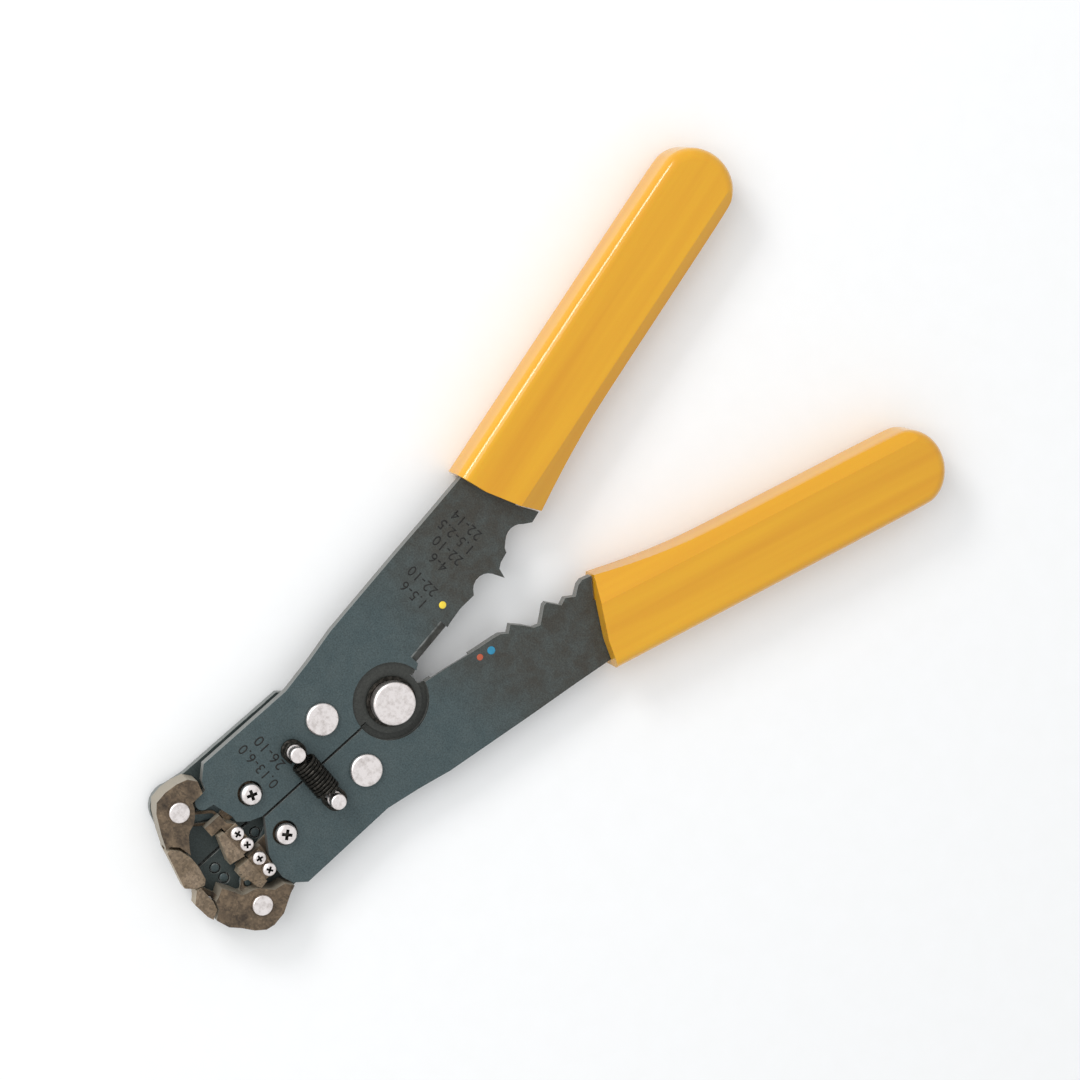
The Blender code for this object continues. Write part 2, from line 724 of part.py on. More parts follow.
def link_line(side):
    """From the spacer rivet of the far half to the claw peg of this side's jaw."""
    return Vector(at(-side, spacer_rivet)), Vector(at(side, claw_peg))


link_half_width = 1.3
link_end_radius = 1.7
link_eye_radius = 3.9
link_step_overlap = 0.45     # each way, where the right link changes layers
link_step = (holder_screw[1] + holder_eye_radius + gap + link_step_overlap
             - chin_y)       # above the chin, clear of the pad holder's eye


def pull_link(side, steel):
    """A flat link from a spacer rivet to a jaw's claw; the right one steps over the left."""
    name = side_name(side) + "_pull_link"
    far, peg = link_line(side)
    along = (peg - far).normalized()
    across = Vector((-along.y, along.x))
    angle = math.degrees(math.atan2(along.y, along.x))
    neck = far + along * (link_eye_radius - 0.5)
    wrist = peg - along * link_end_radius
    outline = (arc(peg, link_end_radius, angle - 90, angle + 90, 8)
               + [tuple(wrist + across * link_half_width),
                  tuple(neck + across * link_half_width)]
               + arc(far, link_eye_radius, angle + 25, angle + 335, 16)
               + [tuple(neck - across * link_half_width),
                  tuple(wrist - across * link_half_width)])
    hole = circle(tuple(far), spacer_shank_radius + gap)
    top = low_link_top if side < 0 else high_link_top
    link = sheet(name, [outline, hole], low_link, top, steel)
    if side > 0:
        step_link(link)
    boolean(link, round_cutter(name + "_peg", tuple(peg), claw_peg_radius,
                               low_link + 0.2, high_link_top - 0.1, 16), "UNION")
    return link


def step_link(link):
    """Cut a link of double thickness to its low layer at one end and its high layer at the other."""
    wide = 40.0
    step_high = chin_y + link_step + link_step_overlap
    step_low = chin_y + link_step - link_step_overlap
    boolean(link, sheet_cutter(link.name + "_over", [(-wide, step_low), (-wide, -2 * wide),
                                                     (wide, -2 * wide), (wide, step_low)],
                               low_link_top, high_link_top + 1))
    boolean(link, sheet_cutter(link.name + "_under", [(-wide, wide), (-wide, step_high),
                                                      (wide, step_high), (wide, wide)],
                               low_link - 1, high_link))


# ---------------------------------------------------------------- spring

def spring_points():
    """Close-wound coil between the posts, with an open hook round each post."""
    mean = spring_outer_radius - spring_wire / 2
    level = front_face + spring_level
    post_x, post_y = spring_post
    hook = spring_post_radius + spring_wire / 2 + 0.15
    half = spring_turns * (spring_wire + 0.12) / 2
    points = []
    for step in range(15):
        angle = math.radians(-60 - 20 * step)
        points.append((-post_x + hook * math.cos(angle), post_y + hook * math.sin(angle), level))
    per_turn = 12
    for step in range(spring_turns * per_turn + 1):
        angle = 2 * math.pi * step / per_turn + math.pi / 2
        x = -half + 2 * half * step / (spring_turns * per_turn)
        points.append((x, post_y + mean * math.cos(angle), level + mean * math.sin(angle)))
    for step in range(15):
        angle = math.radians(140 - 20 * step)
        points.append((post_x + hook * math.cos(angle), post_y + hook * math.sin(angle), level))
    return points


def return_spring(dark):
    curve = bpy.data.curves.new("return_spring", "CURVE")
    curve.dimensions = "3D"
    curve.bevel_depth = spring_wire / 2 * MM
    curve.bevel_resolution = 1
    curve.use_fill_caps = True
    points = spring_points()
    spline = curve.splines.new("POLY")
    spline.points.add(len(points) - 1)
    for point, place in zip(spline.points, points):
        point.co = (place[0] * MM, place[1] * MM, place[2] * MM, 1.0)
    wire = bpy.data.objects.new("return_spring_curve", curve)
    parts.objects.link(wire)
    bpy.context.view_layer.update()
    mesh = merged_mesh(wire, "return_spring")
    bpy.data.objects.remove(wire, do_unlink=True)
    mesh.materials.clear()
    mesh.materials.append(dark)
    return add_mesh_object("return_spring", mesh, parts)


# ---------------------------------------------------------------- assembly

def build_half(side, finishes):
    steel, rubber, bright, sintered = finishes
    label = side_name(side)
    return [
        handle_plate(side, steel),
        back_plate(side, steel),
        grip(side, rubber),
        spacer(side, bright),
        post(side, bright),
        jaw_rivet(side, bright),
        pad_holder(side, sintered),
        cross_screw(label + "_holder_screw", at(side, holder_screw), screw_head_radius,
                    front_face + gap, front_face + 1.9, 1.3, high_link, bright),
    ]


def build_jaw(side, sintered, tool_steel, bright):
    return [jaw(side, sintered), outer_pad(side, tool_steel), outer_pad_screw(side, bright)]


def main():
    start_empty_scene()
    steel = finish("blued_steel", (0.06, 0.075, 0.08), 0.8, 0.5)
    rubber = finish("yellow_vinyl", (0.87, 0.45, 0.02), 0.0, 0.3)
    bright = finish("plated_steel", (0.78, 0.75, 0.74), 1.0, 0.3)
    sintered = finish("sintered_steel", (0.11, 0.08, 0.06), 0.7, 0.6)
    tool_steel = finish("tool_steel", (0.36, 0.30, 0.24), 0.8, 0.45)
    dark = finish("oiled_spring_wire", (0.02, 0.02, 0.02), 0.8, 0.35)
    finishes = (steel, rubber, bright, sintered)
    left = build_half(-1, finishes) + [left_blade(tool_steel), pivot_bolt(bright),
                                       pivot_nut(bright), pivot_washer(dark),
                                       return_spring(dark)]
    right = build_half(1, finishes) + [right_gripper(tool_steel)]
    right += [dowel(label, bright) for label in dowels]
    for name, place in pad_screw_places.items():
        screw = cross_screw(name, place, pad_screw_radius, flange_top + gap,
                            flange_top + gap + 0.9, pad_shank_radius,
                            front_bottom + 2 * gap, bright)
        (left if name.startswith("left") else right).append(screw)
    parent_to(left + right, "main_pivot_axis", (0, 0))
    for side in (-1, 1):
        parent_to(build_jaw(side, sintered, tool_steel, bright),
                  side_name(side) + "_jaw_axis", at(side, jaw_pivot))
        parent_to([pull_link(side, steel)], side_name(side) + "_link_axis",
                  at(-side, spacer_rivet))


main()
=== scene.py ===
# %% [markdown]
# # A self-adjusting wire stripper
# The tool lies on its back on a pale table. Its working parts come from a packed
# model, the frame, which says where each piece is and what it moves with. This lesson
# gives each piece its finished shape and its material, and never moves the frame.

# %% Load the frame
import json
import math

import bmesh
import bpy
from mathutils import Matrix, Vector


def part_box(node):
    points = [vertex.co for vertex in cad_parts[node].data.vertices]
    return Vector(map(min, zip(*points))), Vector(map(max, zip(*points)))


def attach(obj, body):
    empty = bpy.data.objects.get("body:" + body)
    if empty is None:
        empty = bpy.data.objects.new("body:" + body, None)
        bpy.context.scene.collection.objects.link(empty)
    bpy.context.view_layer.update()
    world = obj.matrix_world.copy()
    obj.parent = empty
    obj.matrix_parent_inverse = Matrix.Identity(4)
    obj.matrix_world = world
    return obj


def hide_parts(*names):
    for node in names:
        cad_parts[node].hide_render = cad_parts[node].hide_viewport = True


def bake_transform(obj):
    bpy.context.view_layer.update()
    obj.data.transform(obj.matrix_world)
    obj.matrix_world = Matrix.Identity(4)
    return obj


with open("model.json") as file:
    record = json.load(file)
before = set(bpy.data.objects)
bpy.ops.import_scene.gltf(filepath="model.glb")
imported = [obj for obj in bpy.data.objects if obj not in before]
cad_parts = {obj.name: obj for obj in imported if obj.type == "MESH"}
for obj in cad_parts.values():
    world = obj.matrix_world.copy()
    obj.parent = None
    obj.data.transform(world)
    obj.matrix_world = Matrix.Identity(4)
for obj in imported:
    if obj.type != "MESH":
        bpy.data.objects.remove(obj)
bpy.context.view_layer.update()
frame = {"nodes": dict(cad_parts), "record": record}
nodes = frame["nodes"]
body_of = {name: body for body, names in frame["record"]["behaviour"]["bodies"].items()
           for name in names}
MM = 0.001

# %% [markdown]
# The camera comes first. It looks down on the tool, leaning to the left and a little
# towards the jaws, with a long lens, so the sides of the jaws and of the left handle
# just show. The tool's own axes give its place: +X right, +Y from the jaws to the
# grips, +Z up out of the front face.

# %% Camera
def look_along(lean_left, lean_low, turn):
    """Rotation of a camera that leans off +Z, with its picture turned about its axis."""
    back = Vector((-math.sin(lean_left) * math.cos(lean_low), -math.sin(lean_low),
                   math.cos(lean_left) * math.cos(lean_low)))
    up = (Vector((0, 1, 0)) - back * back.y).normalized()
    right = up.cross(back)
    side = right * math.cos(turn) + up * math.sin(turn)
    top = up * math.cos(turn) - right * math.sin(turn)
    return Matrix((side, top, back)).transposed(), back


view_turn, view_back = look_along(math.radians(18.67), math.radians(8.03),
                                  math.radians(47.85))
look_at = Vector((-1.0, 45.0, 8.1)) * MM
camera_data = bpy.data.cameras.new("camera")
camera_data.lens = 109.1
camera_data.shift_x = 0.0016
camera_data.shift_y = 0.0208
camera_data.clip_start = 0.01
camera = bpy.data.objects.new("camera", camera_data)
camera.matrix_world = (Matrix.Translation(look_at + view_back * 727.5 * MM)
                       @ view_turn.to_4x4())
bpy.context.scene.collection.objects.link(camera)
bpy.context.scene.camera = camera
print("camera at", [round(value, 3) for value in camera.matrix_world.translation])

# %% [markdown]
# Every material is a small network of nodes, so one helper adds a node, sets its
# options and fills its sockets: a value is typed in, a socket is linked. Colours are
# picked as sRGB hex, which Blender needs as linear numbers.

# %% Helpers for materials
def linear(hex_colour):
    """An sRGB hex colour as linear RGBA."""
    shades = [int(hex_colour[place:place + 2], 16) / 255 for place in (1, 3, 5)]
    return tuple(shade / 12.92 if shade <= 0.04045 else ((shade + 0.055) / 1.055) ** 2.4
                 for shade in shades) + (1.0,)


def add(tree, kind, sockets=None, **options):
    """Adds a node with its options; each socket gets a value or a link."""
    made = tree.nodes.new("ShaderNode" + kind)
    for name, value in options.items():
        setattr(made, name, value)
    for name, value in (sockets or {}).items():
        if isinstance(value, bpy.types.NodeSocket):
            tree.links.new(value, made.inputs[name])
        else:
            made.inputs[name].default_value = value
    return made


FACTOR, FIRST, SECOND = 0, 6, 7      # sockets of a colour Mix node, whose names repeat
MIXED = 2


def new_material(name, **constants):
    """A material with one Principled shader; constants go straight on its sockets."""
    material = bpy.data.materials.new(name)
    material.use_nodes = True
    tree = material.node_tree
    shader = tree.nodes["Principled BSDF"]
    for socket, value in constants.items():
        shader.inputs[socket.replace("_", " ")].default_value = value
    place = add(tree, "TexCoord").outputs["Object"]
    return material, tree, shader, place


def per_metre(millimetres):
    """Scale of a texture whose features are that many millimetres apart."""
    return 1.0 / (millimetres * MM)


print("linear of #808080:", round(linear("#808080")[0], 3))

# %% [markdown]
# ## Black-oxide steel
# The plates are stamped from steel sheet and blackened in a hot salt bath. That gives
# a thin grey-blue skin that turns browner where the bath was hotter, here towards the
# crimp notches. Tumbling leaves faint cloudy stains and very fine scratches, and the
# skin wears off along the edges. The plates only ever turn about upright axes, so the
# tilt of the surface alone tells a rounded edge from a face. The sheared walls get a
# painted highlight that makes them a little paler. On a plate with a floor_level, what
# lies below it gets painted shade: darker, browner and unworn.

# %% Black-oxide steel
RECESS_SHADE_FROM, RECESS_SHADE_FULL = 0.25, 0.40   # millimetres below the front face


def black_oxide(name, cool, warm, pale, floor_level=None):
    material, tree, shader, place = new_material(name, Metallic=0.35)
    clouds = add(tree, "TexNoise", {"Vector": place, "Scale": per_metre(14), "Detail": 6.0,
                                    "Roughness": 0.62}).outputs["Fac"]
    height = add(tree, "SeparateXYZ", {"Vector": place}).outputs["Y"]
    wander = add(tree, "Math", {0: clouds, 1: 0.030, 2: height},
                 operation="MULTIPLY_ADD").outputs[0]
    warmth = add(tree, "MapRange", {"Value": wander, "From Min": 0.020, "From Max": 0.046},
                 interpolation_type="SMOOTHSTEP").outputs[0]
    tone = add(tree, "Mix", {FACTOR: warmth, FIRST: linear(cool), SECOND: linear(warm)},
               data_type="RGBA").outputs[MIXED]
    stain = add(tree, "TexNoise", {"Vector": place, "Scale": per_metre(3.2), "Detail": 5.0,
                                   "Roughness": 0.7, "Distortion": 0.4}).outputs["Fac"]
    stain_depth = add(tree, "MapRange", {"Value": stain, "From Min": 0.38, "From Max": 0.66,
                                         "To Min": 0.0, "To Max": 0.42}).outputs[0]
    stained = add(tree, "Mix", {FACTOR: stain_depth, FIRST: tone, SECOND: linear(pale)},
                  data_type="RGBA").outputs[MIXED]
    grit = add(tree, "TexNoise", {"Vector": place, "Scale": per_metre(0.35), "Detail": 3.0,
                                  "Roughness": 0.6}).outputs["Fac"]
    speckle = add(tree, "MapRange", {"Value": grit, "From Min": 0.30, "From Max": 0.72,
                                     "To Min": 0.70, "To Max": 1.28}).outputs[0]
    # Painted shade: below the front face, in the pivot recess, the colour turns dark brown and
    # the edges stay unworn.
    if floor_level:
        level = add(tree, "SeparateXYZ", {"Vector": place}).outputs["Z"]
        recess_shade = add(tree, "MapRange", {"Value": level, "From Min": (floor_level - RECESS_SHADE_FROM) * MM,
                                      "From Max": (floor_level - RECESS_SHADE_FULL) * MM,
                                      "To Max": 0.8}).outputs[0]
        stained = add(tree, "Mix", {FACTOR: recess_shade, FIRST: stained,
                                    SECOND: linear("#37342E")},
                      data_type="RGBA").outputs[MIXED]
    skin = add(tree, "Mix", {FACTOR: 1.0, FIRST: stained, SECOND: speckle},
               data_type="RGBA", blend_type="MULTIPLY").outputs[MIXED]
    # Bare steel shows where the surface tilts, on the rounded edges; the walls get a faint
    # painted highlight of the same pale colour.
    tilt = add(tree, "SeparateXYZ", {"Vector": add(tree, "NewGeometry").outputs["Normal"]})
    upright = add(tree, "Math", {0: tilt.outputs["Z"]}, operation="ABSOLUTE").outputs[0]
    from_face = add(tree, "MapRange", {"Value": upright, "From Min": 0.97, "From Max": 0.75})
    from_wall = add(tree, "MapRange", {"Value": upright, "From Min": 0.12, "From Max": 0.45})
    edge = add(tree, "Math", {0: from_face.outputs[0], 1: from_wall.outputs[0]},
               operation="MULTIPLY").outputs[0]
    patchy = add(tree, "MapRange", {"Value": stain, "From Min": 0.42, "From Max": 0.58,
                                    "To Min": 0.15, "To Max": 0.75}).outputs[0]
    wear_and_wall_highlight = add(tree, "Math", {0: edge, 1: patchy}, operation="MULTIPLY").outputs[0]
    if floor_level:
        kept = add(tree, "Math", {0: 1.0, 1: recess_shade}, operation="SUBTRACT").outputs[0]
        wear_and_wall_highlight = add(tree, "Math", {0: wear_and_wall_highlight, 1: kept}, operation="MULTIPLY").outputs[0]
    # Painted highlight: upright walls are mixed up to 0.35 towards the pale steel colour.
    wall = add(tree, "MapRange", {"Value": upright, "From Min": 0.12, "From Max": 0.02,
                                  "To Max": 0.35}).outputs[0]
    wear_and_wall_highlight = add(tree, "Math", {0: wear_and_wall_highlight, 1: wall}, operation="MAXIMUM").outputs[0]
    colour = add(tree, "Mix", {FACTOR: wear_and_wall_highlight, FIRST: skin, SECOND: linear("#B9BAB6")},
                 data_type="RGBA").outputs[MIXED]
    tree.links.new(colour, shader.inputs["Base Color"])
    gloss = add(tree, "MapRange", {"Value": stain, "From Min": 0.3, "From Max": 0.7,
                                   "To Min": 0.40, "To Max": 0.56}).outputs[0]
    tree.links.new(gloss, shader.inputs["Roughness"])
    # Fine scratches run along the strip that the plates were stamped from.
    along = add(tree, "Mapping", {"Vector": place, "Scale": (1.0, 0.06, 1.0)})
    scratches = add(tree, "TexNoise", {"Vector": along.outputs[0], "Scale": per_metre(0.18),
                                       "Detail": 4.0}).outputs["Fac"]
    relief = add(tree, "Math", {0: scratches, 1: grit}, operation="ADD").outputs[0]
    bump = add(tree, "Bump", {"Strength": 0.22, "Distance": 0.04 * MM, "Height": relief})
    tree.links.new(bump.outputs[0], shader.inputs["Normal"])
    return material


front_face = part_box("left_handle_plate")[1].z / MM
oxide_steel = black_oxide("black_oxide_steel_stamped", "#4A585A", "#47453F", "#5C6767")
# The front plates carry the painted shade in the pivot recess.
front_steel = black_oxide("black_oxide_steel_front", "#435153", "#403E38", "#535E5E",
                          front_face)
# The back plates get a darker copy of the steel: painted shade for the shadow they lie in under
# the front plates.
shaded_back_steel = black_oxide("black_oxide_steel_back_shaded", "#3A4443", "#36352F", "#4A5251")
print("made", oxide_steel.name, front_steel.name, shaded_back_steel.name)

# %% [markdown]
# ## Sintered steel
# The jaws and pad holders are pressed from iron powder and sintered, so no two grains
# take the brown steam finish alike: dark pores between lighter grains. The sides get a
# painted highlight that mixes them towards a pale colour. Voronoi cells give the grains,
# one noise the brown clouds.

# %% Sintered steel
def sintered_steel(name, dark, light, side):
    material, tree, shader, place = new_material(name, Metallic=0.25, Roughness=0.55)
    clouds = add(tree, "TexNoise", {"Vector": place, "Scale": per_metre(5), "Detail": 6.0,
                                    "Roughness": 0.65}).outputs["Fac"]
    spread = add(tree, "MapRange", {"Value": clouds, "From Min": 0.34, "From Max": 0.66})
    tone = add(tree, "Mix", {FACTOR: spread.outputs[0], FIRST: linear(dark),
                             SECOND: linear(light)}, data_type="RGBA").outputs[MIXED]
    grains = add(tree, "TexVoronoi", {"Vector": place, "Scale": per_metre(0.42)})
    grain_shade = add(tree, "SeparateColor", {"Color": grains.outputs["Color"]}).outputs[0]
    grain_light = add(tree, "MapRange", {"Value": grain_shade, "To Min": 0.68,
                                         "To Max": 1.3}).outputs[0]
    grained = add(tree, "Mix", {FACTOR: 1.0, FIRST: tone, SECOND: grain_light},
                  data_type="RGBA", blend_type="MULTIPLY").outputs[MIXED]
    # Painted highlight: the more upright a face, the more it takes the pale side colour.
    tilt = add(tree, "SeparateXYZ", {"Vector": add(tree, "NewGeometry").outputs["Normal"]})
    upright = add(tree, "Math", {0: tilt.outputs["Z"]}, operation="ABSOLUTE").outputs[0]
    painted_side_light = add(tree, "MapRange", {"Value": upright, "From Min": 0.75, "From Max": 0.15,
                                    "To Max": 0.85}).outputs[0]
    colour = add(tree, "Mix", {FACTOR: painted_side_light, FIRST: grained, SECOND: linear(side)},
                 data_type="RGBA").outputs[MIXED]
    tree.links.new(colour, shader.inputs["Base Color"])
    pores = add(tree, "TexNoise", {"Vector": place, "Scale": per_metre(0.3), "Detail": 5.0,
                                   "Roughness": 0.7}).outputs["Fac"]
    relief = add(tree, "Math", {0: grains.outputs["Distance"], 1: 0.8, 2: pores},
                 operation="MULTIPLY_ADD").outputs[0]
    bump = add(tree, "Bump", {"Strength": 0.5, "Distance": 0.08 * MM, "Height": relief})
    tree.links.new(bump.outputs[0], shader.inputs["Normal"])
    return material


# The third colour of each is the painted highlight on the sides.
brown_sinter = sintered_steel("sintered_steel_steam_brown", "#382D22", "#75634E", "#A39B8C")
tan_sinter = sintered_steel("tool_steel_tempered_tan", "#665642", "#857461", "#A89C88")
print("made", brown_sinter.name, tan_sinter.name)

# %% [markdown]
# ## Nickel-plated rivets and screws
# These are turned or headed pieces with a bright nickel skin. The lathe leaves rings
# about each piece's own axis, so the pattern can't read the shared coordinates: each
# turned piece carries its own place as an attribute named lathe, from its axis.

# %% Nickel plate
def nickel_plate(name, tint, ring_depth):
    material, tree, shader, place = new_material(name, Metallic=1.0)
    own = add(tree, "Attribute", attribute_name="lathe").outputs["Vector"]
    flat = add(tree, "Mapping", {"Vector": own, "Scale": (1.0, 1.0, 0.0)}).outputs[0]
    rings = add(tree, "TexWave", {"Vector": flat, "Scale": per_metre(0.30) / 6.28,
                                  "Distortion": 1.2, "Detail": 2.0, "Detail Scale": 2.0},
                wave_type="RINGS", rings_direction="SPHERICAL").outputs["Fac"]
    handled = add(tree, "TexNoise", {"Vector": place, "Scale": per_metre(1.4), "Detail": 5.0,
                                     "Roughness": 0.65}).outputs["Fac"]
    dulled = add(tree, "MapRange", {"Value": handled, "From Min": 0.45, "From Max": 0.68,
                                    "To Max": 0.55}).outputs[0]
    colour = add(tree, "Mix", {FACTOR: dulled, FIRST: linear(tint),
                               SECOND: linear("#B5ABA5")}, data_type="RGBA").outputs[MIXED]
    tree.links.new(colour, shader.inputs["Base Color"])
    gloss = add(tree, "MapRange", {"Value": handled, "From Min": 0.3, "From Max": 0.7,
                                   "To Min": 0.26, "To Max": 0.44}).outputs[0]
    tree.links.new(gloss, shader.inputs["Roughness"])
    bump = add(tree, "Bump", {"Strength": ring_depth, "Distance": 0.03 * MM,
                              "Height": rings})
    tree.links.new(bump.outputs[0], shader.inputs["Normal"])
    return material


bright_nickel = nickel_plate("nickel_plate_turned", "#FFF7F4", 0.35)
print("made", bright_nickel.name)

# %% [markdown]
# ## Yellow grips
# The grips are dipped or moulded soft PVC: a deep yellow with a wet gloss. Flow in the
# mould leaves faint long streaks, and the skin has a slight orange peel that breaks
# up reflections. A thin clear coat gives the sharp line of light on top of a softer one.

# %% Yellow PVC
def glossy_pvc(name, deep, bright, splay):
    material, tree, shader, place = new_material(name, Roughness=0.40, Coat_Weight=0.80,
                                                 Coat_Roughness=0.08, IOR=1.50,
                                                 Specular_IOR_Level=0.25,
                                                 Subsurface_Weight=0.06,
                                                 Subsurface_Scale=1.2 * MM)
    turned = add(tree, "Mapping", {"Vector": place, "Rotation": (0, 0, splay)}).outputs[0]
    along = add(tree, "Mapping", {"Vector": turned, "Scale": (1.0, 0.04, 1.0)}).outputs[0]
    streaks = add(tree, "TexNoise", {"Vector": along, "Scale": per_metre(4.0), "Detail": 3.0,
                                     "Roughness": 0.5}).outputs["Fac"]
    spread = add(tree, "MapRange", {"Value": streaks, "From Min": 0.25, "From Max": 0.75})
    colour = add(tree, "Mix", {FACTOR: spread.outputs[0], FIRST: linear(deep),
                               SECOND: linear(bright)}, data_type="RGBA").outputs[MIXED]
    tree.links.new(colour, shader.inputs["Base Color"])
    peel = add(tree, "TexNoise", {"Vector": place, "Scale": per_metre(1.1), "Detail": 2.0})
    bump = add(tree, "Bump", {"Strength": 0.10, "Distance": 0.05 * MM,
                              "Height": peel.outputs["Fac"]})
    tree.links.new(bump.outputs[0], shader.inputs["Normal"])
    return material


GRIP_SPLAY = math.atan(0.275)        # of a grip's long sides, off the tool's length
yellow_pvc = {side: glossy_pvc("pvc_moulded_yellow_" + side, "#D29108", "#DEA410",
                               sign * GRIP_SPLAY)
              for side, sign in (("left", -1), ("right", 1))}
print("made", [material.name for material in yellow_pvc.values()])

# %% [markdown]
# ## Dark wire and washer
# The spring is hard-drawn wire left oiled and nearly black. Drawing leaves fine lines
# along the wire, too fine to see one by one, so they show as a streaky gloss.

# %% Oiled spring steel
def oiled_steel(name, dark, painted_side_light):
    material, tree, shader, place = new_material(name, Metallic=0.7)
    film = add(tree, "TexNoise", {"Vector": place, "Scale": per_metre(0.9), "Detail": 5.0,
                                  "Roughness": 0.7}).outputs["Fac"]
    thin = add(tree, "MapRange", {"Value": film, "From Min": 0.45, "From Max": 0.75}).outputs[0]
    colour = add(tree, "Mix", {FACTOR: thin, FIRST: linear(dark), SECOND: linear(painted_side_light)},
                 data_type="RGBA").outputs[MIXED]
    tree.links.new(colour, shader.inputs["Base Color"])
    gloss = add(tree, "MapRange", {"Value": film, "To Min": 0.24, "To Max": 0.46}).outputs[0]
    tree.links.new(gloss, shader.inputs["Roughness"])
    bump = add(tree, "Bump", {"Strength": 0.2, "Distance": 0.02 * MM, "Height": film})
    tree.links.new(bump.outputs[0], shader.inputs["Normal"])
    return material


oiled_wire = oiled_steel("spring_steel_oiled", "#15140F", "#4A4640")
print("made", oiled_wire.name)

# %% [markdown]
# ## Rounding the stamped and pressed pieces
# The frame's plates, jaws and pads have the right shapes but knife-sharp edges, and no
# real edge is that sharp: the small rounding is what catches the light. Each piece is
# a copy of the frame's mesh. Its loose triangles are merged and dissolved back to
# whole faces, and the sharp edges are bevelled. Weighted normals keep the big faces
# flat to the light. The frame's own node then stays hidden under the copy.

# %% Helpers for pieces
DISSOLVE_ANGLE = math.radians(1.0)
SHARP_ANGLE = math.radians(28.0)


def finish_piece(work, name, material, replaced, body=None):
    """Turns a bmesh into a smooth-shaded piece that rides where its node did."""
    mesh = bpy.data.meshes.new(name)
    for face in work.faces:
        face.smooth = True
    work.to_mesh(mesh)
    work.free()
    mesh.materials.append(material)
    piece = bpy.data.objects.new(name, mesh)
    bpy.context.scene.collection.objects.link(piece)
    if replaced:
        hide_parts(replaced)
    if replaced or body:
        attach(piece, body or body_of[replaced])
    return piece


def whole_faces(node):
    """A copy of a node's mesh with its triangles merged back to whole faces."""
    work = bmesh.new()
    work.from_mesh(nodes[node].data)
    bmesh.ops.remove_doubles(work, verts=work.verts, dist=0.002 * MM)
    bmesh.ops.dissolve_limit(work, angle_limit=DISSOLVE_ANGLE, verts=work.verts,
                             edges=work.edges)
    return work


def round_edges(work, radius, segments=2):
    """Bevels every outward edge sharper than SHARP_ANGLE by a radius in millimetres."""
    sharp = [edge for edge in work.edges if edge.is_convex
             and edge.calc_face_angle() > SHARP_ANGLE]
    bmesh.ops.bevel(work, geom=sharp, offset=radius * MM, offset_type="OFFSET",
                    segments=segments, profile=0.5, affect="EDGES", clamp_overlap=True,
                    material=-1)


def even_light(piece):
    piece.modifiers.new("even_light", "WEIGHTED_NORMAL").weight = 50


def softened(node, radius, material):
    work = whole_faces(node)
    round_edges(work, radius)
    piece = finish_piece(work, node + "_soft", material, node)
    even_light(piece)
    return piece


# %% Plates, holders, jaws and pads
stamped = {
    "left_handle_plate": (0.22, front_steel, "blued_steel"),
    "right_handle_plate": (0.22, front_steel, "blued_steel"),
    "left_back_plate": (0.22, shaded_back_steel, "blued_steel"),
    "right_back_plate": (0.22, shaded_back_steel, "blued_steel"),
    "left_pull_link": (0.10, oxide_steel, "blued_steel"),
    "right_pull_link": (0.10, oxide_steel, "blued_steel"),
    "left_jaw": (0.28, brown_sinter, "sintered_steel"),
    "right_jaw": (0.28, brown_sinter, "sintered_steel"),
    "left_pad_holder": (0.12, brown_sinter, "sintered_steel"),
    "right_pad_holder": (0.12, brown_sinter, "sintered_steel"),
    "left_inner_blade": (0.15, tan_sinter, "tool_steel"),
    "right_gripper_pad": (0.10, tan_sinter, "tool_steel"),
    "left_outer_pad": (0.20, tan_sinter, "tool_steel"),
    "right_outer_pad": (0.20, tan_sinter, "tool_steel"),
    "pivot_washer": (0.10, oiled_wire, "spring_wire"),
    "pivot_nut": (0.30, oxide_steel, "plated_steel"),
}
for node, (radius, material, slot) in stamped.items():
    piece = softened(node, radius, material)
    print(piece.name, len(piece.data.polygons), "faces")

# %% [markdown]
# ## Rivets, posts, bolt and dowels
# A lathe turns these, so each starts as a half profile, a chain of a few vertices, and
# bmesh spins it once round its axis. A real head has a small rounded rim, so the
# profile's outer corners are cut twice. The lathe attribute is written here, while the
# piece still stands on its own axis, and then the mesh moves to its place.

# %% Turned pieces
jaw_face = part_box("left_jaw")[1].z / MM
SPRING_LEVEL = 3.3                   # of the spring's axis above the front face
POST_RADIUS = 1.75
FOOT_HEIGHT = 1.1                    # of the dark foot of a spring post


def axis_of(node):
    """Where a round node's axis stands, in millimetres."""
    low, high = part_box(node)
    return (low.x + high.x) / 2 / MM, (low.y + high.y) / 2 / MM


def spun(profile, steps=48):
    """A closed lathe piece from (radius, height) points in millimetres, top to bottom."""
    work = bmesh.new()
    chain = [work.verts.new((radius * MM, 0, height * MM)) for radius, height in profile]
    edges = [work.edges.new(pair) for pair in zip(chain, chain[1:])]
    bmesh.ops.spin(work, geom=chain + edges, cent=(0, 0, 0), axis=(0, 0, 1), dvec=(0, 0, 0),
                   angle=math.tau, steps=steps, use_merge=True, use_normal_flip=False,
                   use_duplicate=False)
    bmesh.ops.remove_doubles(work, verts=work.verts, dist=0.004 * MM)
    bmesh.ops.recalc_face_normals(work, faces=work.faces)
    return work


def placed(work, place):
    """Writes each vertex's place from the piece's own axis, then moves the piece there."""
    own = work.verts.layers.float_vector.new("lathe")
    for vertex in work.verts:
        vertex[own] = vertex.co
    bmesh.ops.translate(work, verts=work.verts, vec=(place[0] * MM, place[1] * MM, 0))
    return work


def head(radius, bottom, top, rim=0.35, dish=0.06):
    """Profile of a headed rivet's face and rounded rim, from the axis outwards."""
    return [(0, top - dish), (radius * 0.55, top - dish * 0.8), (radius - rim * 1.6, top),
            (radius - rim, top), (radius - rim * 0.45, top - rim * 0.18),
            (radius - rim * 0.12, top - rim * 0.5), (radius, top - rim), (radius, bottom)]


